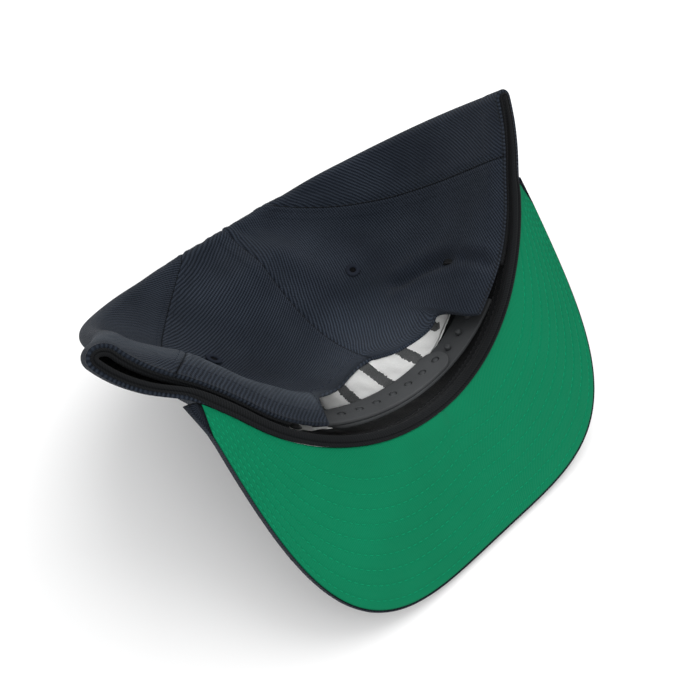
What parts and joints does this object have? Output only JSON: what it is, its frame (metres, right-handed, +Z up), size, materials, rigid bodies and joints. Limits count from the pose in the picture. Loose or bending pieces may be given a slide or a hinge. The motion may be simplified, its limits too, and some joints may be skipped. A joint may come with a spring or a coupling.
{
  "type": "snapback cap",
  "caption": "Flat-peak panelled cloth cap lying upside down, back half pushed in, with a snap strap across its rear opening.",
  "frame": {"origin": "centre of the bounding box at floor level, as the cap lies", "axes": "+Z up, +X towards the wearer's right, -Y the way the peak points"},
  "size_m": [0.2148, 0.1868, 0.1149],
  "materials": {
    "navy_twill": "dark navy cotton twill",
    "peak_twill": "dark navy cotton twill over a stiff core",
    "navy_thread": "navy embroidery thread",
    "green_cloth": "green cotton with stitched rows",
    "black_band": "black cotton sweatband with binding",
    "backing_cloth": "white non-woven backing",
    "strap_plastic": "dark grey moulded plastic"
  },
  "bodies": {
    "root": {"panel_front_right": "navy_twill", "panel_side_right": "navy_twill", "panel_back_right": "navy_twill", "panel_front_left": "navy_twill", "panel_side_left": "navy_twill", "panel_back_left": "navy_twill", "eyelet_front_right": "navy_thread", "eyelet_side_right": "navy_thread", "eyelet_back_right": "navy_thread", "eyelet_front_left": "navy_thread", "eyelet_side_left": "navy_thread", "eyelet_back_left": "navy_thread", "peak_top": "peak_twill", "peak_underside": "green_cloth", "sweatband": "black_band", "front_backing": "backing_cloth", "strap_with_holes": "strap_plastic", "strap_with_pegs": "strap_plastic", "button": "navy_twill"}
  },
  "joints": []
}
